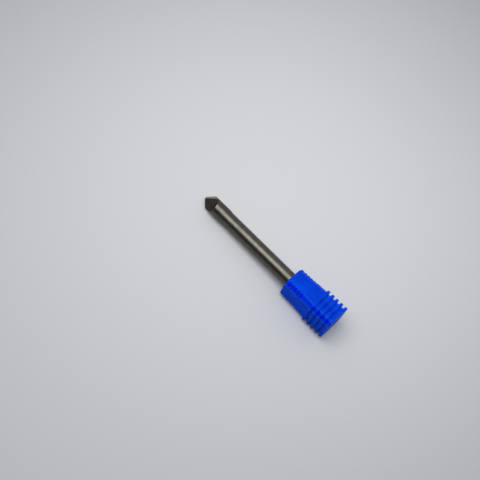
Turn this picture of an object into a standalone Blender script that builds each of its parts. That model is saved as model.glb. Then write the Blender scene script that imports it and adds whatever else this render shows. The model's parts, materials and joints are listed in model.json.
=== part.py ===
"""A 90 degree V groove router bit of solid carbide, its shank pushed into a moulded square plug.

Lengths are in metres and +Z is up. Both pieces are modelled along their common axis, which runs
along +X from the tip of the bit at X = 0 to the back of the plug. One empty then lays the whole
tool on the floor, nose down, as it comes to rest on the bit's head and on the plug's first flange.
The origin is the middle of the bounding box, on the floor.
"""

import math

import bmesh
import bpy
import numpy as np
from mathutils import Matrix, Vector

MM = 0.001

# The bit
SHANK_DIAMETER = 6.0 * MM
CUT_DIAMETER = 6.35 * MM
BIT_LENGTH = 60.0 * MM
CUT_LENGTH = 11.4 * MM  # tip to the shoulder behind the cutting head
SHOULDER_LENGTH = 0.8 * MM  # taper from the head down to the shank
SHANK_END_CHAMFER = 0.5 * MM
POINT_ANGLE = math.radians(90.0)

# The two flats that thin the head into a blade, one above and one below its middle plane
WEB_AT_TIP = 0.8 * MM
WEB_TAPER = math.radians(3.0)
FLAT_LENGTH = 4.7 * MM  # tip to the foot of the ramp
RAMP_ANGLE = math.radians(58.0)  # slope of the ramp from the flat up to the round head
RAMP_FILLET = 0.7 * MM

# The bevel behind each cutting edge, and the long relief flat beside it on the round head
EDGE_CLEARANCE = math.radians(35.0)
RELIEF_START = math.radians(5.0)  # angles round the axis from the cutting edge
RELIEF_END = math.radians(48.0)
RELIEF_LENGTH = 11.0 * MM
RELIEF_END_SLOPE = math.radians(40.0)
TEETH = 2

# The plug
GRIP_DEPTH = 13.2 * MM  # length of shank inside the plug
PLUG_LENGTH = 22.8 * MM
FRONT_WIDTH = 10.1 * MM  # across the flats at the front, widening by the mould's draft
BODY_WIDTH = 10.7 * MM  # across the flats where the smooth part ends
GROOVE_WIDTH = 10.4 * MM
FLANGE_WIDTH = 12.0 * MM
FLANGE_COUNT = 5
FLANGE_PITCH = 2.2 * MM
FLANGE_THICKNESS = 1.1 * MM
CORNER_CHAMFER = 1.6 * MM  # leg of the flat on each of the four long corners
EDGE_ROUND = 0.2 * MM  # small rounding of the moulded edges
FRONT_ROUND = 0.6 * MM
NOTCH_COUNT = 5  # shallow notches in a row on each long corner
NOTCH_PITCH = 1.45 * MM
NOTCH_RADIUS = 0.7 * MM
NOTCH_DEPTH = 0.3 * MM
FIRST_NOTCH = 1.8 * MM  # front of the plug to the first notch

# How the two pieces sit together
BORE_CLEARANCE = 0.15 * MM  # between the shank and the plug's bore, all round and at its end
BIT_ROLL = math.radians(43.0)  # the blade's turn about the axis, against the plug's flats

ROUND_STEPS = 96
FILLET_STEPS = 6
EDGE_STEPS = 2
NOTCH_STEPS = 24
CUTTER_MARGIN = 2.0 * MM  # how far a cutter reaches past what it cuts
STEEPEST_PITCH = math.radians(30.0)  # where the search for the resting pitch starts
PITCH_HALVINGS = 50

PLUG_FRONT = BIT_LENGTH - GRIP_DEPTH
PLUG_BACK = PLUG_FRONT + PLUG_LENGTH
FIRST_FLANGE = PLUG_BACK - (FLANGE_COUNT - 1) * FLANGE_PITCH - FLANGE_THICKNESS


def clear_scene():
    for obj in list(bpy.data.objects):
        bpy.data.objects.remove(obj, do_unlink=True)


def make_material(name, colour, roughness, metallic):
    material = bpy.data.materials.new(name)
    material.use_nodes = True
    shader = material.node_tree.nodes["Principled BSDF"]
    shader.inputs["Base Color"].default_value = (*colour, 1.0)
    shader.inputs["Roughness"].default_value = roughness
    shader.inputs["Metallic"].default_value = metallic
    material.diffuse_color = (*colour, 1.0)
    return material


def add_object(name, bm, material=None):
    """Makes an object of the mesh, with its faces pointing out."""
    bmesh.ops.recalc_face_normals(bm, faces=bm.faces)
    mesh = bpy.data.meshes.new(name)
    bm.to_mesh(mesh)
    bm.free()
    obj = bpy.data.objects.new(name, mesh)
    bpy.context.scene.collection.objects.link(obj)
    if material:
        mesh.materials.append(material)
    return obj


def add_cutter(name, bm, target):
    """Hides the mesh as a cutter and takes it away from the target with a Boolean."""
    cutter = add_object(name, bm)
    cutter.hide_render = True
    cutter.display_type = "WIRE"
    boolean = target.modifiers.new(name, "BOOLEAN")
    boolean.operation = "DIFFERENCE"
    boolean.solver = "EXACT"
    boolean.object = cutter


def shade_round(obj, crease):
    """Smooth shading with every edge sharper than the crease angle kept crisp."""
    obj.data.shade_smooth()
    obj.data.set_sharp_from_angle(angle=crease)


def skin_rings(bm, rings):
    """Joins closed rings of equal size one after the other, and caps the first and the last."""
    loops = [[bm.verts.new(point) for point in ring] for ring in rings]
    count = len(loops[0])
    for near, far in zip(loops, loops[1:]):
        for i in range(count):
            j = (i + 1) % count
            bm.faces.new((near[i], near[j], far[j], far[i]))
    bm.faces.new(loops[0])
    bm.faces.new(loops[-1])


def circle(radius, x, steps=ROUND_STEPS):
    angles = np.arange(steps) * 2 * math.pi / steps
    return [Vector((x, radius * math.cos(a), radius * math.sin(a))) for a in angles]


def arc(centre, radius, start, end, steps):
    """Points of an arc in a plane, as (u, v) pairs."""
    angles = np.linspace(start, end, steps + 1)
    return [(centre[0] + radius * math.cos(a), centre[1] + radius * math.sin(a)) for a in angles]


def extrude_outline(outline, half_width):
    """A closed prism: the outline's (x, z) points, as wide in Y as twice the half width."""
    bm = bmesh.new()
    sides = [[Vector((x, y, z)) for x, z in outline] for y in (-half_width, half_width)]
    skin_rings(bm, sides)
    return bm


def turned_blank():
    """The ground rod before its point is cut: head, shoulder, shank and the chamfered end."""
    head, shank = CUT_DIAMETER / 2, SHANK_DIAMETER / 2
    profile = (
        (0.0, head),
        (CUT_LENGTH, head),
        (CUT_LENGTH + SHOULDER_LENGTH, shank),
        (BIT_LENGTH - SHANK_END_CHAMFER, shank),
        (BIT_LENGTH, shank - SHANK_END_CHAMFER),
    )
    bm = bmesh.new()
    skin_rings(bm, [circle(radius, x) for x, radius in profile])
    return bm


def bevel_normal():
    """Outward normal of the bevel behind the cutting edge on the +Y side.

    The edge lies in the lower flat, half the point angle off the axis. The bevel leans back from
    it by the clearance angle, and passes through the tip, where it meets the other bevel.
    """
    drop = math.tan(WEB_TAPER)
    edge = Vector((1.0, math.tan(POINT_ANGLE / 2), -drop)).normalized()
    into_blade = Vector((drop, 0.0, 1.0)).normalized()
    outward = into_blade.cross(edge)
    return outward * math.cos(EDGE_CLEARANCE) + into_blade * math.sin(EDGE_CLEARANCE)


def cut_point(bm):
    """Slices the rod's end along the bevel of each tooth."""
    for tooth in range(TEETH):
        turn = Matrix.Rotation(2 * math.pi * tooth / TEETH, 3, "X")
        cut = bmesh.ops.bisect_plane(
            bm,
            geom=bm.verts[:] + bm.edges[:] + bm.faces[:],
            plane_co=(0.0, 0.0, 0.0),
            plane_no=turn @ bevel_normal(),
            clear_outer=True,
        )
        rim = [item for item in cut["geom_cut"] if isinstance(item, bmesh.types.BMEdge)]
        bmesh.ops.contextual_create(bm, geom=rim)


def flat_outline():
    """Side view of what a grinding wheel removes: flat, fillet and ramp, then out over the head."""
    top = CUT_DIAMETER / 2 + CUTTER_MARGIN
    slope = math.tan(WEB_TAPER)
    foot = (FLAT_LENGTH, WEB_AT_TIP / 2 + FLAT_LENGTH * slope)
    front = (-CUTTER_MARGIN, WEB_AT_TIP / 2 - CUTTER_MARGIN * slope)
    # The fillet touches the flat and the ramp, so its centre is on the line halfway between them
    setback = RAMP_FILLET * math.tan((RAMP_ANGLE - WEB_TAPER) / 2)
    start = (foot[0] - setback * math.cos(WEB_TAPER), foot[1] - setback * math.sin(WEB_TAPER))
    centre = (start[0] - RAMP_FILLET * math.sin(WEB_TAPER), start[1] + RAMP_FILLET * math.cos(WEB_TAPER))
    quarter = math.pi / 2
    fillet = arc(centre, RAMP_FILLET, WEB_TAPER - quarter, RAMP_ANGLE - quarter, FILLET_STEPS)
    brow = (foot[0] + (top - foot[1]) / math.tan(RAMP_ANGLE), top)
    return [front, *fillet, brow, (-CUTTER_MARGIN, top)]


def relief_outline():
    """Side view of the relief cutter, measured from the axis out to well past the head."""
    half = (RELIEF_END - RELIEF_START) / 2
    floor = CUT_DIAMETER / 2 * math.cos(half)
    top = CUT_DIAMETER / 2 + CUTTER_MARGIN
    back = RELIEF_LENGTH + (top - floor) / math.tan(RELIEF_END_SLOPE)
    return [(-CUTTER_MARGIN, floor), (RELIEF_LENGTH, floor), (back, top), (-CUTTER_MARGIN, top)]


def make_bit(material):
    bm = turned_blank()
    cut_point(bm)
    bit = add_object("router_bit", bm, material)
    middle = (RELIEF_START + RELIEF_END) / 2
    for tooth in range(TEETH):
        turn = 2 * math.pi * tooth / TEETH
        flat = extrude_outline(flat_outline(), CUT_DIAMETER)
        flat.transform(Matrix.Rotation(turn, 4, "X"))
        add_cutter(f"flat_cutter_{tooth}", flat, bit)
        # The outline rises along +Z, so it is turned back from there to the middle of the relief
        relief = extrude_outline(relief_outline(), CUT_DIAMETER)
        relief.transform(Matrix.Rotation(middle - math.pi / 2 + turn, 4, "X"))
        add_cutter(f"relief_cutter_{tooth}", relief, bit)
    shade_round(bit, math.radians(12.0))
    return bit


def square_section(width, x):
    """A square with a flat on each corner, and a small rounding where each flat starts."""
    half = width / 2
    # A rounding of radius r at a 135 degree corner starts r * tan(22.5 degrees) before it
    setback = EDGE_ROUND * math.tan(math.pi / 8)
    points = []
    for quarter in range(4):
        turn = quarter * math.pi / 2
        side_end = (half - EDGE_ROUND, half - CORNER_CHAMFER - setback)
        corner_end = (half - CORNER_CHAMFER - setback, half - EDGE_ROUND)
        first = arc(side_end, EDGE_ROUND, 0.0, math.pi / 4, EDGE_STEPS)
        second = arc(corner_end, EDGE_ROUND, math.pi / 4, math.pi / 2, EDGE_STEPS)
        cos, sin = math.cos(turn), math.sin(turn)
        points += [Vector((x, u * cos - v * sin, u * sin + v * cos)) for u, v in first + second]
    return points


def drafted_width(x):
    """Width of the plug's smooth part, which the mould's draft widens towards the flanges."""
    start = PLUG_FRONT + FRONT_ROUND
    share = (x - start) / (FIRST_FLANGE - start)
    return FRONT_WIDTH + share * (BODY_WIDTH - FRONT_WIDTH)


def plug_profile():
    """(x, width) stations from the front of the plug to its back."""
    centre = (PLUG_FRONT + FRONT_ROUND, FRONT_WIDTH / 2 - FRONT_ROUND)
    front = arc(centre, FRONT_ROUND, math.pi, math.pi / 2, FILLET_STEPS)
    stations = [(x, 2 * half) for x, half in front]
    width = drafted_width(FIRST_FLANGE)
    for flange in range(FLANGE_COUNT):
        near = FIRST_FLANGE + flange * FLANGE_PITCH
        far = near + FLANGE_THICKNESS
        stations += [
            (near, width),
            (near, FLANGE_WIDTH - 2 * EDGE_ROUND),
            (near + EDGE_ROUND, FLANGE_WIDTH),
            (far - EDGE_ROUND, FLANGE_WIDTH),
            (far, FLANGE_WIDTH - 2 * EDGE_ROUND),
        ]
        width = GROOVE_WIDTH
        if flange < FLANGE_COUNT - 1:
            stations.append((far, width))
    return stations


def notch_cutters():
    """Short rods laid across the four long corners, in a row from near the front of the plug."""
    bm = bmesh.new()
    reach = CORNER_CHAMFER * math.sqrt(2) / 2 + CUTTER_MARGIN
    for corner in range(4):
        turn = Matrix.Rotation(math.pi / 4 + corner * math.pi / 2, 3, "X")
        for notch in range(NOTCH_COUNT):
            x = PLUG_FRONT + FIRST_NOTCH + notch * NOTCH_PITCH
            # Distance from the axis out to the flat on the corner, along the diagonal
            flat = (drafted_width(x) - CORNER_CHAMFER) / math.sqrt(2)
            centre = (x, flat - NOTCH_DEPTH + NOTCH_RADIUS)
            section = arc(centre, NOTCH_RADIUS, 0.0, 2 * math.pi, NOTCH_STEPS)[:-1]
            ends = [[turn @ Vector((u, v, side)) for u, v in section] for side in (-reach, reach)]
            skin_rings(bm, ends)
    return bm


def make_plug(material):
    bm = bmesh.new()
    skin_rings(bm, [square_section(width, x) for x, width in plug_profile()])
    plug = add_object("shank_plug", bm, material)
    bore = bmesh.new()
    radius = SHANK_DIAMETER / 2 + BORE_CLEARANCE
    ends = (PLUG_FRONT - CUTTER_MARGIN, BIT_LENGTH + BORE_CLEARANCE)
    skin_rings(bore, [circle(radius, x) for x in ends])
    add_cutter("bore_cutter", bore, plug)
    add_cutter("notch_cutter", notch_cutters(), plug)
    shade_round(plug, math.radians(25.0))
    return plug


def solid_points(obj):
    """Corners of the finished solid, along the tool's own axis."""
    graph = bpy.context.evaluated_depsgraph_get()
    mesh = obj.evaluated_get(graph).to_mesh()
    points = np.empty(len(mesh.vertices) * 3, np.float32)
    mesh.vertices.foreach_get("co", points)
    matrix = np.array(obj.matrix_local)
    obj.evaluated_get(graph).to_mesh_clear()
    return points.reshape(-1, 3).astype(float) @ matrix[:3, :3].T + matrix[:3, 3]


def lowest_after(points, pitch):
    """Lowest Z once the tool is pitched nose down."""
    return (points[:, 0] * math.sin(pitch) + points[:, 2] * math.cos(pitch)).min()


def lay_on_floor(carrier, bit, plug):
    """Pitches the tool until bit and plug reach equally low, and puts the origin under its middle."""
    head, block = solid_points(bit), solid_points(plug)
    level, steep = 0.0, STEEPEST_PITCH
    for _ in range(PITCH_HALVINGS):
        pitch = (level + steep) / 2
        if lowest_after(block, pitch) < lowest_after(head, pitch):
            level = pitch
        else:
            steep = pitch
    carrier.rotation_euler = (0.0, -pitch, 0.0)
    laid = np.vstack([head, block]) @ np.array(carrier.rotation_euler.to_matrix()).T
    low, high = laid.min(axis=0), laid.max(axis=0)
    carrier.location = (-(low[0] + high[0]) / 2, -(low[1] + high[1]) / 2, -low[2])


def main():
    clear_scene()
    carbide = make_material("ground_carbide", (0.17, 0.155, 0.135), 0.34, 1.0)
    blue_plastic = make_material("blue_plastic", (0.003, 0.07, 0.72), 0.42, 0.0)
    carrier = bpy.data.objects.new("tool_axis", None)
    bpy.context.scene.collection.objects.link(carrier)
    bit = make_bit(carbide)
    plug = make_plug(blue_plastic)
    for cutter in [modifier.object for modifier in bit.modifiers]:
        cutter.parent = bit
    for cutter in [modifier.object for modifier in plug.modifiers]:
        cutter.parent = plug
    bit.rotation_euler = (BIT_ROLL, 0.0, 0.0)
    bit.parent = carrier
    plug.parent = carrier
    bpy.context.view_layer.update()
    lay_on_floor(carrier, bit, plug)


main()
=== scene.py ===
# %% [markdown]
# # A V groove router bit in its moulded plug
#
# The tool is one rod of solid carbide. Its end is ground to a thin blade with a 90 degree point,
# and its round shank sits in a bright blue plastic plug that protects it in the shop.
#
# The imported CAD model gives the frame: where the tool lies and how large it is. This script gives
# the looks. Both pieces are made again as fine surfaces, because the CAD solids are faceted and a
# polished rod shows every facet in its highlight.

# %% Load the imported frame
import json
import math

import bpy
import numpy as np
from mathutils import Matrix


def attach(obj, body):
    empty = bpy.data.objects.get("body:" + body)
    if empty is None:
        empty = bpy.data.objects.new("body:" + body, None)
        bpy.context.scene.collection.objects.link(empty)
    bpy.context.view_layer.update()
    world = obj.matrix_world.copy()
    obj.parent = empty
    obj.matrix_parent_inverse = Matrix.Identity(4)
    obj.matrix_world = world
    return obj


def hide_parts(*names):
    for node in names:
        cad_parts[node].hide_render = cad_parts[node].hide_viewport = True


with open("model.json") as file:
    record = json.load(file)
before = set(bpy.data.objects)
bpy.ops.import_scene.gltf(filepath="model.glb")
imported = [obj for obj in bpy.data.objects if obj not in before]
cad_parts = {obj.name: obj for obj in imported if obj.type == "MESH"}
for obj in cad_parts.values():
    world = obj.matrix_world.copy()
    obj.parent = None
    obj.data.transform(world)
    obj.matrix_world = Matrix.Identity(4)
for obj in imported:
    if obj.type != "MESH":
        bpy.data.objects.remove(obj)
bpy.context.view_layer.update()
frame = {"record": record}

# %% [markdown]
# ## The tool's own axis
#
# The tool lies a little nose down, because the plug is thicker than the bit's head. It is easier
# to describe it along its own axis, with x from the tip to the back of the plug, so every shape
# below is worked out there in millimetres. The record's mount is the middle of the plug's back
# face, and its axis is the tool's axis. That is all that is needed to carry a point to the floor.

# %% Axes of the tool in the frame
MM = 0.001
TOOL_LENGTH = 69.6  # tip of the bit to the back of the plug
TOOL_MIDDLE = (TOOL_LENGTH / 2, 0.0, 0.0)

mount = frame["record"]["mounts"][0]
along = np.array(mount["axis"])
across = np.array([0.0, 1.0, 0.0])
tool_axes = np.array([along, across, np.cross(along, across)])
tip = np.array(mount["pos_m"]) - TOOL_LENGTH * MM * along
pitch = math.asin(along[2])


def place(points):
    """Frame coordinates in metres: the tip, plus x along, y across and z up the tool."""
    return tip + MM * np.asarray(points) @ tool_axes


print("tip at", np.round(tip / MM, 2), "mm, nose down by", round(math.degrees(pitch), 2), "degrees")

# %% [markdown]
# ## Sections trimmed by straight cuts
#
# Cut the tool anywhere across its axis and the section is simple: a disc or a square with a few
# straight cuts. Such a section is easy to write in polar form. A straight cut that faces the
# direction `facing` and lies `distance` from the axis meets the ray at angle `t` at the radius
# distance / cos(t - facing). The nearest cut wins. Working with 1 / radius turns nearest into
# largest, and a sum of high powers is a soft way to take the largest, which leaves the small
# rounding that every real edge has.

# %% Polar radius of a trimmed section
SHARPNESS = 220.0  # power of the soft maximum: higher makes crisper edges


def straight_cut(angles, facing, distance):
    """1 / radius of a straight cut: cos(angle - facing) / distance, or 0 on rays that leave it."""
    return np.maximum(np.cos(angles - facing), 0.0) / distance


def trimmed_radius(cuts):
    """Radius of the section inside all cuts, and the share that each cut has in it.

    The sum of (1 / radius) ** SHARPNESS over the cuts, to the power of -1 / SHARPNESS. Each cut
    is first divided by the largest, so that the powers stay small numbers.
    """
    cuts = np.array(np.broadcast_arrays(*cuts))
    largest = cuts.max(axis=0)
    powers = (cuts / largest) ** SHARPNESS
    total = powers.sum(axis=0)
    return 1.0 / (largest * total ** (1.0 / SHARPNESS)), powers / total


side_and_corner = np.radians([0.0, 45.0])
trial = trimmed_radius([straight_cut(side_and_corner, side, 1.0) for side in (0.0, math.pi / 2)])
print("a square of half width 1 has the radii", np.round(trial[0], 3), "at a side and a corner")

# %% [markdown]
# ## From rings to a mesh
#
# Both pieces are a row of closed rings, one behind the other, with a point at each end. A mesh of
# that kind is a grid: ring i and column j. Four neighbours on the grid make one face, and the
# last column joins the first, so there is no seam. The corners of each face are listed in the
# order that makes it point outwards, which the volume of the finished mesh shows by its sign.

# %% Closed mesh from rings
def ring_faces(count, columns):
    """Faces of a grid of rings with a point at each end, as lists of the points' numbers."""
    start = columns * np.arange(count - 1)[:, None]
    j = np.arange(columns)
    k = (j + 1) % columns
    quads = np.stack([start + j, start + k, start + columns + k, start + columns + j], axis=-1)
    first, last = count * columns, count * columns + 1
    final = columns * (count - 1)
    front_cap = np.stack([np.full(columns, first), k, j], axis=-1)
    back_cap = np.stack([np.full(columns, last), final + j, final + k], axis=-1)
    return quads.reshape(-1, 4).tolist() + front_cap.tolist() + back_cap.tolist()


def ring_mesh(name, rings, first_pole, last_pole):
    """A closed surface through rings of points, shape (rings, columns, 3), in tool coordinates."""
    points = np.vstack([rings.reshape(-1, 3), first_pole, last_pole])
    mesh = bpy.data.meshes.new(name)
    mesh.from_pydata(place(points).tolist(), [], ring_faces(*rings.shape[:2]))
    mesh.shade_smooth()
    obj = bpy.data.objects.new(name, mesh)
    bpy.context.scene.collection.objects.link(obj)
    return obj


def polar_rings(x, angles, radius):
    """Rings around the axis: x along it, y = radius * cos(angle) and z = radius * sin(angle)."""
    x, angles, radius = np.broadcast_arrays(x, angles, radius)
    return np.stack([x, radius * np.cos(angles), radius * np.sin(angles)], axis=-1)


def store_shares(obj, name, shares):
    """Keeps one number for each point of the rings, for the material. The two poles get 0."""
    attribute = obj.data.attributes.new(name, "FLOAT", "POINT")
    attribute.data.foreach_set("value", np.append(shares.ravel(), [0.0, 0.0]).astype(np.float32))


def describe(obj):
    """Prints a finished piece's size. A positive volume means that its faces point outwards.

    Each triangle a, b, c spans a pyramid to the origin with the volume a . (b x c) / 6, and the
    pyramids add up to the volume of the mesh.
    """
    mesh = obj.data
    mesh.calc_loop_triangles()
    corners = np.empty(len(mesh.loop_triangles) * 3, np.int32)
    mesh.loop_triangles.foreach_get("vertices", corners)
    points = np.empty(len(mesh.vertices) * 3, np.float32)
    mesh.vertices.foreach_get("co", points)
    a, b, c = points.reshape(-1, 3)[corners.reshape(-1, 3)].transpose(1, 0, 2) / MM
    volume = np.einsum("ij,ij->", a, np.cross(b, c)) / 6
    print(f"{obj.name}: {len(mesh.loop_triangles)} triangles, {volume:.1f} cubic mm")


print("two rings of 4 points and two poles make", len(ring_faces(2, 4)), "faces")

# %% [markdown]
# ## The bit
#
# The blank is a rod with a slightly larger head. Three kinds of cut turn its end into a cutter:
#
# - two flats, one above and one below the middle plane, thin it to a blade, and each ends in a
#   ramp where the grinding wheel leaves the rod;
# - two bevels, half the point angle off the axis, make the point. Each leans back behind its
#   cutting edge so that only the edge touches the wood;
# - two long relief flats beside the edges keep the round head from rubbing.
#
# Tooth two is tooth one turned by half a turn, so each cut is written once and used twice.

# %% Sizes of the bit in millimetres
HEAD_RADIUS = 6.35 / 2
SHANK_RADIUS = 6.0 / 2
BIT_LENGTH = 60.0
HEAD_LENGTH = 11.4
SHOULDER_LENGTH = 0.8
END_CHAMFER = 0.5
SHANK_START = HEAD_LENGTH + SHOULDER_LENGTH
SHANK_END = BIT_LENGTH - END_CHAMFER
HALF_POINT = math.radians(45.0)
WEB_AT_TIP = 0.8  # thickness of the blade
WEB_TAPER = math.radians(3.0)
FLAT_LENGTH = 4.7
RAMP_ANGLE = math.radians(58.0)
RAMP_FILLET = 0.7
EDGE_CLEARANCE = math.radians(35.0)
RELIEF_START = math.radians(5.0)  # round the axis, from the cutting edge
RELIEF_END = math.radians(48.0)
RELIEF_LENGTH = 11.0
RELIEF_END_SLOPE = math.radians(40.0)
BIT_ROLL = math.radians(43.0)  # how far the bit is turned in its plug
TEETH = 2

print("bit", BIT_LENGTH, "mm long, head", 2 * HEAD_RADIUS, "mm and shank", 2 * SHANK_RADIUS, "mm")


# %% Profiles of the cuts along the bit
def blank_radius(x):
    """The rod: head, a short taper down to the shank, and a chamfer at its far end."""
    stations = [0.0, HEAD_LENGTH, SHANK_START, SHANK_END, BIT_LENGTH]
    radii = [HEAD_RADIUS, HEAD_RADIUS, SHANK_RADIUS, SHANK_RADIUS, SHANK_RADIUS - END_CHAMFER]
    return np.interp(x, stations, radii)


def flat_height(x):
    """Middle plane to the flat: a slow rise, an arc that touches both lines, then the ramp."""
    foot = WEB_AT_TIP / 2 + FLAT_LENGTH * math.tan(WEB_TAPER)
    setback = RAMP_FILLET * math.tan((RAMP_ANGLE - WEB_TAPER) / 2)
    start = FLAT_LENGTH - setback * math.cos(WEB_TAPER)
    end = FLAT_LENGTH + setback * math.cos(RAMP_ANGLE)
    centre_x = start - RAMP_FILLET * math.sin(WEB_TAPER)
    centre_z = WEB_AT_TIP / 2 + start * math.tan(WEB_TAPER) + RAMP_FILLET * math.cos(WEB_TAPER)
    flat = WEB_AT_TIP / 2 + x * math.tan(WEB_TAPER)
    ramp = foot + (x - FLAT_LENGTH) * math.tan(RAMP_ANGLE)
    fillet = centre_z - np.sqrt(np.maximum(RAMP_FILLET**2 - (x - centre_x) ** 2, 0.0))
    return np.select([x < start, x < end], [flat, fillet], ramp)


def bevel_plane():
    """Where the bevel faces in a section, and its distance from the axis for each mm of x.

    Its normal is the cross product of the way into the blade and the cutting edge, turned back
    by the clearance angle.
    """
    drop = math.tan(WEB_TAPER)
    edge = np.array([1.0, math.tan(HALF_POINT), -drop])
    into_blade = np.array([drop, 0.0, 1.0])
    edge /= np.linalg.norm(edge)
    into_blade /= np.linalg.norm(into_blade)
    square_on = np.cross(into_blade, edge)
    normal = square_on * math.cos(EDGE_CLEARANCE) + into_blade * math.sin(EDGE_CLEARANCE)
    return math.atan2(normal[2], normal[1]), -normal[0] / math.hypot(normal[1], normal[2])


def relief_distance(x):
    """Axis to the relief flat: level along the head, then rising out of it."""
    level = HEAD_RADIUS * math.cos((RELIEF_END - RELIEF_START) / 2)
    return level + np.maximum(x - RELIEF_LENGTH, 0.0) * math.tan(RELIEF_END_SLOPE)


bevel_facing, bevel_per_mm = bevel_plane()
print("bevel faces", round(math.degrees(bevel_facing), 1), "degrees from the cutting edge's side")

# %% [markdown]
# The rings stand close together where the shape changes, at the point, the ramps and the
# shoulder, and far apart along the plain shank. One column is turned to lie on the chisel edge,
# the short ridge across the tip, which would otherwise fall between two columns.

# %% Rings of the bit
BIT_COLUMNS = 480
FIRST_RING = 0.01
SECOND_RING = 2.5 * FIRST_RING
POINT_STEP = 0.05  # spacing of the rings from the tip to the top of the ramps
RAMP_TOP = 6.6
RELIEF_GAP = 0.1  # left free before the relief flats start to rise
CREASE_GAP = 0.02  # from a crease to the next ring: a small gap keeps the crease crisp
FLUTE_RINGS, HEAD_RINGS, SHOULDER_RINGS, SHANK_RINGS, CHAMFER_RINGS = 8, 12, 6, 24, 4


def bit_stations():
    """Places of the rings along the bit, in mm from the tip."""
    return np.concatenate([
        [FIRST_RING, SECOND_RING],
        np.arange(POINT_STEP, RAMP_TOP, POINT_STEP),
        np.linspace(RAMP_TOP, RELIEF_LENGTH - RELIEF_GAP, FLUTE_RINGS),
        np.linspace(RELIEF_LENGTH, HEAD_LENGTH - CREASE_GAP, HEAD_RINGS),
        np.linspace(HEAD_LENGTH, SHANK_START, SHOULDER_RINGS),
        np.linspace(SHANK_START + CREASE_GAP, SHANK_END - CREASE_GAP, SHANK_RINGS),
        np.linspace(SHANK_END, BIT_LENGTH, CHAMFER_RINGS),
    ])


def bit_rings():
    """Rings of the bit, and for each point its share in the ground flats and in the bevels.

    The cuts are the blank, and then a flat, a bevel and a relief flat for each tooth.
    """
    x = bit_stations()[:, None]
    chisel = bevel_facing + math.pi / 2
    angles = chisel + np.arange(BIT_COLUMNS) * 2 * math.pi / BIT_COLUMNS
    cuts = [1.0 / blank_radius(x)]
    middle = (RELIEF_START + RELIEF_END) / 2
    for tooth in range(TEETH):
        turn = 2 * math.pi * tooth / TEETH
        cuts.append(straight_cut(angles, math.pi / 2 + turn, flat_height(x)))
        cuts.append(straight_cut(angles, bevel_facing + turn, bevel_per_mm * x))
        cuts.append(straight_cut(angles, middle + turn, relief_distance(x)))
    radius, shares = trimmed_radius(cuts)
    bevels = shares[2::3].sum(axis=0)
    return polar_rings(x, angles + BIT_ROLL, radius), 1.0 - shares[0], bevels


bit_surface, on_flat, on_bevel = bit_rings()
bit = ring_mesh("bit", bit_surface, [0.0, 0.0, 0.0], [BIT_LENGTH, 0.0, 0.0])
store_shares(bit, "ground_flat", on_flat)
store_shares(bit, "bevel", on_bevel)
describe(bit)

# %% [markdown]
# ## The plug
#
# The plug is one moulding: a square block with a flat on each long corner, a smooth front part
# that widens a little so that it leaves the mould, a row of shallow notches on each corner, and
# five square flanges that grip the tray. Its section is again a square trimmed by straight cuts,
# four sides and four corners, so the same polar radius serves. What changes along the axis is
# only the half width, and that is a profile with rounded corners.

# %% Sizes of the plug in millimetres
GRIP_DEPTH = 13.2  # of the shank in the plug
BORE_CLEARANCE = 0.15
PLUG_FRONT = BIT_LENGTH - GRIP_DEPTH
FRONT_HALF = 10.1 / 2
BODY_HALF = 10.7 / 2
GROOVE_HALF = 10.4 / 2
FLANGE_HALF = 12.0 / 2
FLANGE_COUNT = 5
FLANGE_PITCH = 2.2
FLANGE_THICKNESS = 1.1
FIRST_FLANGE = TOOL_LENGTH - (FLANGE_COUNT - 1) * FLANGE_PITCH - FLANGE_THICKNESS
CORNER_CHAMFER = 1.6  # leg of the flat on each long corner
FRONT_ROUND = 0.6
EDGE_ROUND = 0.2  # of the flanges' rims
ROOT_ROUND = 0.18  # where a flange meets the block
NOTCH_COUNT = 5
NOTCH_PITCH = 1.45
NOTCH_RADIUS = 0.7
NOTCH_DEPTH = 0.3
FIRST_NOTCH = 1.8  # front of the plug to the first notch
BORE_RADIUS = SHANK_RADIUS + BORE_CLEARANCE
BORE_END = BIT_LENGTH + BORE_CLEARANCE
MOUTH_ROUND = 0.25  # of the bore's mouth

print(f"plug {TOOL_LENGTH - PLUG_FRONT:.1f} mm long, {2 * FLANGE_HALF} mm over its flanges")

# %% Profile along the plug
FRONT_STEPS, SMOOTH_STEPS, RIM_STEPS, ROOT_STEPS = 9, 90, 5, 4


def arc(centre, radius, start, end, steps):
    """Points (x, half width) on an arc between two angles in degrees, both ends included."""
    angles = np.radians(np.linspace(start, end, steps))
    x, half = centre
    return np.stack([x + radius * np.cos(angles), half + radius * np.sin(angles)], axis=-1)


def flange_profile(near, near_root, far_root):
    """One flange: a root fillet, a face, two rounded edges round its rim, a face and a fillet."""
    far = near + FLANGE_THICKNESS
    rim = FLANGE_HALF - EDGE_ROUND
    near_fillet = (near - ROOT_ROUND, near_root + ROOT_ROUND)
    parts = [
        arc(near_fillet, ROOT_ROUND, -90, 0, ROOT_STEPS),
        arc((near + EDGE_ROUND, rim), EDGE_ROUND, 180, 90, RIM_STEPS),
        arc((far - EDGE_ROUND, rim), EDGE_ROUND, 90, 0, RIM_STEPS),
    ]
    if far_root:
        far_fillet = (far + ROOT_ROUND, far_root + ROOT_ROUND)
        parts.append(arc(far_fillet, ROOT_ROUND, 180, 270, ROOT_STEPS))
    return np.vstack(parts)


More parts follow.
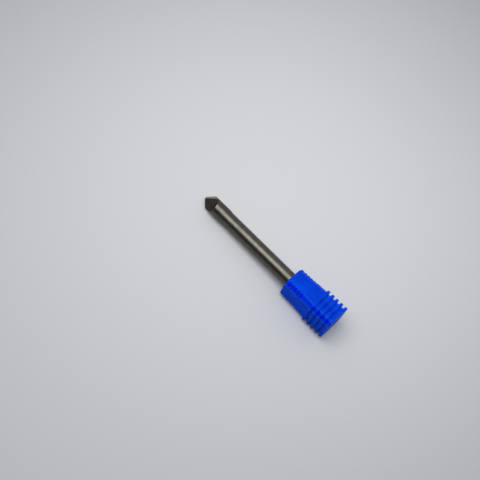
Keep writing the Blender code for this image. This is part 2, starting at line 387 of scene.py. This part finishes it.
def outer_profile():
    """(x, half width) from the front face's rim, along the smooth part and over the flanges."""
    start = PLUG_FRONT + FRONT_ROUND
    front = arc((start, FRONT_HALF - FRONT_ROUND), FRONT_ROUND, 180, 90, FRONT_STEPS)
    x = np.linspace(start, FIRST_FLANGE - ROOT_ROUND, SMOOTH_STEPS)[1:-1]
    share = (x - start) / (FIRST_FLANGE - start)
    smooth = np.stack([x, FRONT_HALF + share * (BODY_HALF - FRONT_HALF)], axis=-1)
    flanges = []
    for i in range(FLANGE_COUNT):
        near_root = BODY_HALF if i == 0 else GROOVE_HALF
        far_root = GROOVE_HALF if i < FLANGE_COUNT - 1 else None
        flanges.append(flange_profile(FIRST_FLANGE + i * FLANGE_PITCH, near_root, far_root))
    return np.vstack([front, smooth, *flanges])


print("the profile has", len(outer_profile()), "points")

# %% [markdown]
# The columns of the plug crowd towards its four corners, because the flats in between need few.
# The section also gives the material what it can't see for itself: how near a point is to a long
# edge, and how deep it lies in a notch or between two flanges. The material uses these to paint a
# highlight along the long edges, and to paint shade into the notches, between the flanges and onto
# the corner flats.

# %% Section of the plug
SIDES = 4
PLUG_COLUMNS = 400
CORNER_CROWDING = 0.5  # share by which columns are drawn towards the four corners
HIGHLIGHT_SPREAD = 0.15  # power that widens the painted highlight along the edges: lower is wider
FLAT_SHADE_SHARE = 0.6  # share of the painted shade on a corner flat outside its notches


def plug_angles():
    """Even steps t, drawn towards the corners: t + crowding * sin(4 t) / 4."""
    t = np.arange(PLUG_COLUMNS) * 2 * math.pi / PLUG_COLUMNS
    return t + CORNER_CROWDING * np.sin(SIDES * t) / SIDES


def notch_depth(x):
    """Depth of the corner notches: round scoops, repeated at an even pitch."""
    centres = PLUG_FRONT + FIRST_NOTCH + NOTCH_PITCH * np.arange(NOTCH_COUNT)
    scoop = np.sqrt(np.maximum(NOTCH_RADIUS**2 - (x - centres) ** 2, 0.0))
    depth = np.maximum(scoop - (NOTCH_RADIUS - NOTCH_DEPTH), 0.0)
    return depth.max(axis=-1, keepdims=True)


def plug_section(x, half, angles):
    """Radius of the square with flat corners, less the notches, and the shares of its cuts.

    A flat that takes the chamfer off both sides of a corner lies at (2 half - chamfer) / root 2
    from the axis. The cuts alternate: a side, then a corner.
    """
    cuts = []
    corner = (2 * half - CORNER_CHAMFER) / math.sqrt(2) - notch_depth(x)
    for side in range(SIDES):
        facing = side * 2 * math.pi / SIDES
        cuts.append(straight_cut(angles, facing, half))
        cuts.append(straight_cut(angles, facing + math.pi / SIDES, corner))
    return trimmed_radius(cuts)


def edge_highlight_mask(shares):
    """How near each point is to one of the eight long edges, from 0 on a flat to 1 on the edge: the
    mask of the painted highlight.

    The shares are raised to a small power first, which spreads them to either side of the edge.
    """
    spread_out = shares**HIGHLIGHT_SPREAD
    return 2.0 * (1.0 - spread_out.max(axis=0) / spread_out.sum(axis=0))


def corner_painted_shade(x, half, shares):
    """Painted shade on the corner flats, where shade falls: 1 at the bottom of a notch or between
    two flanges.
    """
    notch = notch_depth(x) / NOTCH_DEPTH
    groove = (x > FIRST_FLANGE) * (FLANGE_HALF - half) / (FLANGE_HALF - GROOVE_HALF)
    deep = np.maximum(notch, groove)
    return (FLAT_SHADE_SHARE + (1.0 - FLAT_SHADE_SHARE) * deep) * shares[1::2].sum(axis=0)


trial = plug_section(np.array([[PLUG_FRONT]]), FRONT_HALF, side_and_corner)[0]
print("the plug's front has the radii", np.round(trial[0], 2), "mm at a side and a corner")

# %% [markdown]
# The plug is closed, so its rings start at the blind end of the bore, come forwards along it,
# turn over the front face and run back outside. One ring lies close to each rim of a flat face,
# because smooth shading would otherwise bend the light across the whole face.

# %% Rings of the plug
BORE_RINGS, MOUTH_STEPS = 12, 6
END_SCALE = 0.97  # of the bore's radius: the first ring, on its flat end
FACE_SHARES = (0.02, 0.3, 0.7, 0.98)  # of the way from the bore's mouth to the front's rim
BACK_SCALES = (0.995, 0.9, 0.6, 0.3, 0.05)  # of the back's rim


def bore_rings(angles):
    """From the blind end forwards along the bore and round its mouth, all of them circles."""
    mouth_x = PLUG_FRONT + MOUTH_ROUND
    depth = np.linspace(BORE_END, mouth_x, BORE_RINGS)
    wall = np.stack([depth, np.full_like(depth, BORE_RADIUS)], axis=-1)
    end = [[BORE_END, BORE_RADIUS * END_SCALE]]
    mouth = arc((mouth_x, BORE_RADIUS + MOUTH_ROUND), MOUTH_ROUND, -90, -180, MOUTH_STEPS)[1:]
    profile = np.vstack([end, wall, mouth])
    return polar_rings(profile[:, :1], angles, profile[:, 1:])


def face_rings(inner, outer):
    """Rings across a flat face from one ring to the next, bunched at both ends."""
    return inner + np.array(FACE_SHARES)[:, None, None] * (outer - inner)


def back_rings(rim):
    """Rings across the back face, from its rim to near the axis, by shrinking the rim."""
    centre = np.array([TOOL_LENGTH, 0.0, 0.0])
    return centre + np.array(BACK_SCALES)[:, None, None] * (rim - centre)


def plug_rings():
    """All rings, from the bore's blind end round to the back, with the masks for the painted edge
    highlight and the painted shade in the recesses.
    """
    angles = plug_angles()
    profile = outer_profile()
    x, half = profile[:, :1], profile[:, 1:]
    radius, shares = plug_section(x, half, angles)
    outside = polar_rings(x, angles, radius)
    bore = bore_rings(angles)
    front = face_rings(bore[-1], outside[0])
    back = back_rings(outside[-1])
    plain_rings = ((len(bore) + len(front), len(back)), (0, 0))
    edges = np.pad(edge_highlight_mask(shares), plain_rings)
    painted_recess_shade = np.pad(corner_painted_shade(x, half, shares), plain_rings)
    return np.concatenate([bore, front, outside, back]), edges, painted_recess_shade


plug_surface, edge_highlight_share, painted_shade_share = plug_rings()
plug = ring_mesh("plug", plug_surface, [BORE_END, 0.0, 0.0], [TOOL_LENGTH, 0.0, 0.0])
store_shares(plug, "edge", edge_highlight_share)
store_shares(plug, "painted_recess_shade", painted_shade_share)
describe(plug)

# %% [markdown]
# ## Materials
#
# Both finishes are made of nodes. A few small helpers keep the wiring readable: one makes a node,
# sets its values and links its inputs, and the others are the steps that both finishes share.

# %% Helpers for node trees
NOISE_MIDDLE = (0.3, 0.7)  # most of the noise lies between these values


def new_material(name):
    """A material with an empty Principled shader, and the shader's node."""
    material = bpy.data.materials.new(name)
    material.use_nodes = True
    return material, material.node_tree.nodes["Principled BSDF"]


def add_node(tree, kind, settings=None, **inputs):
    """A node of this kind. Settings are its own properties, and inputs are values or sockets."""
    node = tree.nodes.new(kind)
    for key, value in (settings or {}).items():
        setattr(node, key, value)
    for key, value in inputs.items():
        socket = node.inputs[key.replace("_", " ")]
        if isinstance(value, bpy.types.NodeSocket):
            tree.links.new(value, socket)
        else:
            socket.default_value = value
    return node


def tool_coordinates(tree):
    """Object coordinates in mm, turned so that X runs along the tool."""
    source = tree.nodes.new("ShaderNodeTexCoord").outputs["Object"]
    turn, scale = (0.0, pitch, 0.0), (1 / MM, 1 / MM, 1 / MM)
    mapping = add_node(tree, "ShaderNodeMapping", Vector=source, Rotation=turn, Scale=scale)
    return mapping.outputs["Vector"]


def noise(tree, coordinates, grains, detail):
    """Noise from 0 to 1, with this many grains along each axis in one unit of the coordinates."""
    mapping = add_node(tree, "ShaderNodeMapping", Vector=coordinates, Scale=grains)
    scaled = mapping.outputs["Vector"]
    node = add_node(tree, "ShaderNodeTexNoise", Vector=scaled, Scale=1.0, Detail=detail)
    return node.outputs["Fac"]


def attribute(tree, name):
    """A number that the mesh holds for each point."""
    return add_node(tree, "ShaderNodeAttribute", {"attribute_name": name}).outputs["Fac"]


def glide(tree, value, before, after, curve):
    """A number that goes from one end of `after` to the other while the value crosses `before`."""
    limits = {"From_Min": before[0], "From_Max": before[1], "To_Min": after[0], "To_Max": after[1]}
    settings = {"interpolation_type": curve}
    return add_node(tree, "ShaderNodeMapRange", settings, Value=value, **limits).outputs["Result"]


def spread(tree, value, low, high):
    """The middle of the noise spread evenly from low to high."""
    return glide(tree, value, NOISE_MIDDLE, (low, high), "LINEAR")


def smooth_step(tree, value, start, end, low=0.0, high=1.0):
    """A number that glides from low to high while the value goes from start to end."""
    return glide(tree, value, (start, end), (low, high), "SMOOTHSTEP")


def blend(tree, share, first, second):
    """A colour between two colours, or a number between the numbers of two sockets."""
    kind = "FLOAT" if isinstance(first, bpy.types.NodeSocketFloat) else "RGBA"
    node = add_node(tree, "ShaderNodeMix", {"data_type": kind})
    sockets = [socket for socket in node.inputs if socket.enabled]
    for socket, value in zip(sockets, (share, first, second)):
        if isinstance(value, bpy.types.NodeSocket):
            tree.links.new(value, socket)
        else:
            socket.default_value = (*value, 1.0)
    return next(socket for socket in node.outputs if socket.enabled)


def press_bump(tree, shader, height, depth):
    """Bump of this depth in mm from a height between 0 and 1."""
    bump = add_node(tree, "ShaderNodeBump", Height=height, Distance=depth * MM)
    tree.links.new(bump.outputs["Normal"], shader.inputs["Normal"])


print(f"noise from {NOISE_MIDDLE[0]} to {NOISE_MIDDLE[1]} is spread over the range asked for")

# %% [markdown]
# The carbide is dark and a little warm. A grinding wheel leaves fine rings round the rod and fine
# lines along the flats, so the same kind of noise is stretched one way or the other, and the mesh's
# own record of its flats chooses between them. The marks stay faint: with fine marks and a wide
# range of roughness, the smoothest of them draw short black lines across the rod. The bevels are
# ground last, with a coarser wheel, so they are rougher. Their base colour is a pale grey, far
# paler than the carbide: a painted highlight that stands in for the bright reflection they show.

# %% Ground carbide
ROD_DARK = (0.084, 0.078, 0.066)
ROD_LIGHT = (0.116, 0.110, 0.094)
FLAT_BROWN = (0.097, 0.084, 0.070)
# painted highlight: the bevels' pale grey stands in for the bright reflection they show
BEVEL_PAINTED_HIGHLIGHT = (0.34, 0.34, 0.325)
RING_GRAINS = (1.3, 0.15, 0.15)  # grains for each mm along, across and up the tool
LINE_GRAINS = (0.15, 1.8, 1.8)
MOTTLE_GRAINS = (0.5, 0.35, 0.35)
POLISHED = (0.30, 0.36)  # roughness
COARSE = (0.45, 0.51)
MARK_DEPTH = 0.002


def ground_carbide():
    """Dark metal with a mottled tone, grinding marks in its roughness and its bump, and a painted
    highlight: pale grey bevels.
    """
    material, shader = new_material("ground_carbide")
    tree = material.node_tree
    where = tool_coordinates(tree)
    flat, bevel = attribute(tree, "ground_flat"), attribute(tree, "bevel")
    rings = noise(tree, where, RING_GRAINS, detail=1.0)
    lines = noise(tree, where, LINE_GRAINS, detail=1.0)
    marks = blend(tree, flat, rings, lines)
    mottle = noise(tree, where, MOTTLE_GRAINS, detail=4.0)
    rod = blend(tree, spread(tree, mottle, 0.0, 1.0), ROD_DARK, ROD_LIGHT)
    ground = blend(tree, flat, rod, FLAT_BROWN)
    # the bevels take the pale grey of the painted highlight
    tree.links.new(blend(tree, bevel, ground, BEVEL_PAINTED_HIGHLIGHT), shader.inputs["Base Color"])
    polished, coarse = spread(tree, marks, *POLISHED), spread(tree, marks, *COARSE)
    tree.links.new(blend(tree, bevel, polished, coarse), shader.inputs["Roughness"])
    shader.inputs["Metallic"].default_value = 1.0
    press_bump(tree, shader, marks, MARK_DEPTH)
    return material


carbide = ground_carbide()
print(carbide.name, "has", len(carbide.node_tree.nodes), "nodes")

# %% [markdown]
# The plug looks like satin polyethylene. Its colour drifts a little where the melt flowed, and the
# mould's spark-eroded wall leaves a fine grain. The long edges get a painted highlight, a paler
# line, and the corner flats get painted shade, a deeper blue, in the notches and between the
# flanges. Such plastic passes some light below its surface, blue light the furthest. That softens
# the shadows on it, which a plain coat of colour can't do, so half of the light goes through the
# shader's subsurface part.

# %% Blue moulded plastic
BLUE_DEEP = (0.0, 0.036, 0.53)
BLUE_CLEAR = (0.0, 0.066, 0.68)
# painted highlight: a paler line along the long edges
BLUE_PAINTED_HIGHLIGHT = (0.004, 0.075, 0.68)
# painted shade: the deeper blue of the notches, the gaps between the flanges and the corner flats
BLUE_PAINTED_SHADE = (0.0, 0.012, 0.64)
FLOW_GRAINS = (0.12, 0.45, 0.45)  # grains for each mm along, across and up the tool
MOULD_GRAINS = (5.0, 5.0, 5.0)
SATIN = (0.38, 0.52)  # roughness
SHINE = 0.03  # of the surface: such plastic mirrors little
LIGHT_BELOW = 0.5  # share of the light that goes below the surface
LIGHT_REACH = 4.0  # in mm, for blue light
REACH_BY_COLOUR = (0.1, 0.3, 1.0)
MOULD_DEPTH = 0.012


def blue_plastic():
    """Satin plastic that passes some light, with flow marks, a grain, a painted highlight on the
    edges and painted shade in the recesses.
    """
    material, shader = new_material("blue_moulding")
    tree = material.node_tree
    where = tool_coordinates(tree)
    flow = noise(tree, where, FLOW_GRAINS, detail=3.0)
    grain = noise(tree, where, MOULD_GRAINS, detail=3.0)
    body = blend(tree, spread(tree, flow, 0.0, 1.0), BLUE_DEEP, BLUE_CLEAR)
    # painted shade in the notches, between the flanges and on the corner flats
    shaded = blend(tree, attribute(tree, "painted_recess_shade"), body, BLUE_PAINTED_SHADE)
    # painted highlight along the long edges
    colour = blend(tree, attribute(tree, "edge"), shaded, BLUE_PAINTED_HIGHLIGHT)
    tree.links.new(colour, shader.inputs["Base Color"])
    tree.links.new(spread(tree, grain, *SATIN), shader.inputs["Roughness"])
    shader.inputs["Specular IOR Level"].default_value = SHINE
    shader.inputs["Subsurface Weight"].default_value = LIGHT_BELOW
    shader.inputs["Subsurface Radius"].default_value = REACH_BY_COLOUR
    shader.inputs["Subsurface Scale"].default_value = LIGHT_REACH * MM
    press_bump(tree, shader, grain, MOULD_DEPTH)
    return material


plastic = blue_plastic()
print(plastic.name, "has", len(plastic.node_tree.nodes), "nodes")

# %% [markdown]
# ## The pieces in the frame
#
# Each piece gets its finish, rides on the one body, and takes the place of the CAD node that it
# shows. The CAD node stays in the physics, hidden.

# %% Finishes and CAD nodes
bit.data.materials.append(carbide)
plug.data.materials.append(plastic)

for piece, node, slot in ((bit, "router_bit", "carbide"), (plug, "shank_plug", "blue_plastic")):
    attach(piece, "root")
    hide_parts(node)
    print(piece.name, "replaces", node)

# %% [markdown]
# ## Floor
#
# The tool lies on a pale sheet. In the photograph the sheet is lightest beyond the tool and falls
# off towards the near corners, so its colour holds a painted pool of light: its tone follows the
# distance from a point beyond the tool. Far away, where the lamp no longer reaches, the floor is
# painted white, painted light in place of the lamp's, and only the surroundings light it.

# %% Floor
FLOOR_HALF = 3.0  # metres
# painted pool of light: the sheet's colour is pale near the centre, grey further out and white far
# away
SHEET_PAINTED_LIT = (0.68, 0.687, 0.708)
SHEET_PAINTED_DIM = (0.415, 0.427, 0.452)
FLOOR_PAINTED_LIGHT = (0.86, 0.87, 0.89)
PAINTED_LIGHT_CENTRE = (-0.015, 0.125, 0.0)  # metres: the centre of the painted pool of light, a point on the floor beyond the tool
PAINTED_FALLOFF = (0.02, 0.26)  # metres from the centre: where the painted light starts to fall off, and ends
# metres from the centre: where the floor's colour turns white, painted light where the lamp no
# longer reaches
PAINTED_FAR_LIGHT = (0.28, 0.50)
SHEET_GRAINS = (900.0, 900.0, 900.0)  # grains for each metre
SHEET_SATIN = (0.52, 0.66)  # roughness
SHEET_SHINE = 0.2
SHEET_DEPTH = 0.02


def pale_sheet():
    """Pale satin sheet with a faint grain, whose colour holds a painted pool of light round a point
    beyond the tool.
    """
    material, shader = new_material("pale_sheet")
    tree = material.node_tree
    where = tree.nodes.new("ShaderNodeTexCoord").outputs["Object"]
    away = add_node(tree, "ShaderNodeVectorMath", {"operation": "DISTANCE"})
    tree.links.new(where, away.inputs[0])
    away.inputs[1].default_value = PAINTED_LIGHT_CENTRE
    distance = away.outputs["Value"]
    # painted light: pale near the centre, darker further out
    sheet = blend(tree, smooth_step(tree, distance, *PAINTED_FALLOFF), SHEET_PAINTED_LIT, SHEET_PAINTED_DIM)
    # painted light far away, where the lamp no longer reaches
    floor = blend(tree, smooth_step(tree, distance, *PAINTED_FAR_LIGHT), sheet, FLOOR_PAINTED_LIGHT)
    tree.links.new(floor, shader.inputs["Base Color"])
    grain = noise(tree, where, SHEET_GRAINS, detail=3.0)
    tree.links.new(spread(tree, grain, *SHEET_SATIN), shader.inputs["Roughness"])
    shader.inputs["Specular IOR Level"].default_value = SHEET_SHINE
    press_bump(tree, shader, grain, SHEET_DEPTH)
    return material


def make_floor():
    """A flat square at height 0, far larger than the picture."""
    corners = FLOOR_HALF * np.array([(-1, -1, 0), (1, -1, 0), (1, 1, 0), (-1, 1, 0)])
    mesh = bpy.data.meshes.new("floor")
    mesh.from_pydata(corners.tolist(), [], [(0, 1, 2, 3)])
    mesh.materials.append(pale_sheet())
    floor = bpy.data.objects.new("floor", mesh)
    bpy.context.scene.collection.objects.link(floor)
    return floor


make_floor()
print("floor", 2 * FLOOR_HALF, "metres square")

# %% [markdown]
# ## Light
#
# One softbox hangs above the tool, a little to the near side. The rod mirrors it as one long soft
# line, so the box's width across the tool sets the width of that line, and its place sets where
# the line runs. The surroundings are bright behind the tool and dark in front. They draw the pale
# upper rim of the rod and the dark band under its highlight.

# %% Softbox
LIGHT_PLACE = (12.0, -63.0, 240.0)  # tool coordinates in mm
LIGHT_LENGTH = 0.25  # metres
LIGHT_WIDTH = 0.19
LIGHT_POWER = 0.60  # watts


def make_softbox():
    """A rectangular lamp that faces the middle of the tool, with its length along the tool."""
    data = bpy.data.lights.new("softbox", "AREA")
    data.shape = "RECTANGLE"
    data.size = LIGHT_LENGTH
    data.size_y = LIGHT_WIDTH
    data.energy = LIGHT_POWER
    lamp = bpy.data.objects.new("softbox", data)
    bpy.context.scene.collection.objects.link(lamp)
    lamp.location = place(LIGHT_PLACE)
    back = place(LIGHT_PLACE) - place(TOOL_MIDDLE)
    back /= np.linalg.norm(back)
    length = np.cross(across, back)
    length /= np.linalg.norm(length)
    turn = Matrix(np.array([length, np.cross(back, length), back]).T.tolist())
    lamp.rotation_euler = turn.to_euler()
    return lamp


print("softbox at", np.round(make_softbox().location, 3), "metres")

# %% Surroundings
BRIGHT_SIDE = (-0.3, 0.95, 0.0)
WALL_RANGE = (-0.9, 0.6)  # how far a direction points to the bright side, from dark to bright
BRIGHT_WALL = 0.62
DARK_WALL = 0.07
WALL_TINT = (0.97, 0.98, 1.0, 1.0)
BACKDROP = (0.42, 0.43, 0.46, 1.0)


def make_world():
    """Walls that glide from dark to bright. The camera itself sees an even backdrop instead."""
    world = bpy.data.worlds.new("studio")
    world.use_nodes = True
    bpy.context.scene.world = world
    tree = world.node_tree
    direction = tree.nodes.new("ShaderNodeTexCoord").outputs["Generated"]
    towards = add_node(tree, "ShaderNodeVectorMath", {"operation": "DOT_PRODUCT"})
    tree.links.new(direction, towards.inputs[0])
    towards.inputs[1].default_value = BRIGHT_SIDE
    strength = smooth_step(tree, towards.outputs["Value"], *WALL_RANGE, DARK_WALL, BRIGHT_WALL)
    walls = add_node(tree, "ShaderNodeBackground", Color=WALL_TINT, Strength=strength)
    backdrop = add_node(tree, "ShaderNodeBackground", Color=BACKDROP)
    seen = tree.nodes.new("ShaderNodeLightPath").outputs["Is Camera Ray"]
    mix = tree.nodes.new("ShaderNodeMixShader")
    for socket, source in zip(mix.inputs, (seen, walls.outputs[0], backdrop.outputs[0])):
        tree.links.new(source, socket)
    tree.links.new(mix.outputs[0], tree.nodes["World Output"].inputs["Surface"])


make_world()
print("walls from", DARK_WALL, "to", BRIGHT_WALL)

# %% [markdown]
# ## Camera
#
# A first camera was found by least squares, with an assumed lens: the tip, the plug's corners and
# flanges and the edges of the rod were set against the photograph. It made the flanges' lines curve
# too much, so it was fitted again twice, each time about 10 mm nearer the tip's end, to the model's
# own points with small offsets. Its place and its two directions are in tool coordinates.

# %% Camera
CAMERA_PLACE = (91.52, -163.58, 263.83)
CAMERA_FORWARD = (-0.21939, 0.50745, -0.83328)
CAMERA_UP = (-0.6843, 0.52874, 0.50216)
LENS = 61.875  # mm: with this sensor, a field of 32.4 degrees
SENSOR = 36.0
CLIP_START = 0.01  # metres


def make_camera():
    """The scene's camera, looking forward with its up direction made square to the view."""
    data = bpy.data.cameras.new("camera")
    data.lens = LENS
    data.sensor_width = SENSOR
    data.clip_start = CLIP_START
    camera = bpy.data.objects.new("camera", data)
    bpy.context.scene.collection.objects.link(camera)
    forward = np.array(CAMERA_FORWARD) @ tool_axes
    forward /= np.linalg.norm(forward)
    right = np.cross(forward, np.array(CAMERA_UP) @ tool_axes)
    right /= np.linalg.norm(right)
    turn = Matrix(np.array([right, np.cross(right, forward), -forward]).T.tolist()).to_4x4()
    camera.matrix_world = Matrix.Translation(place(CAMERA_PLACE).tolist()) @ turn
    bpy.context.scene.camera = camera


make_camera()
bpy.context.scene.view_settings.view_transform = "Standard"
reach = np.linalg.norm(place(CAMERA_PLACE) - place(TOOL_MIDDLE))
print("camera", round(reach / MM), "mm from the middle of the tool")
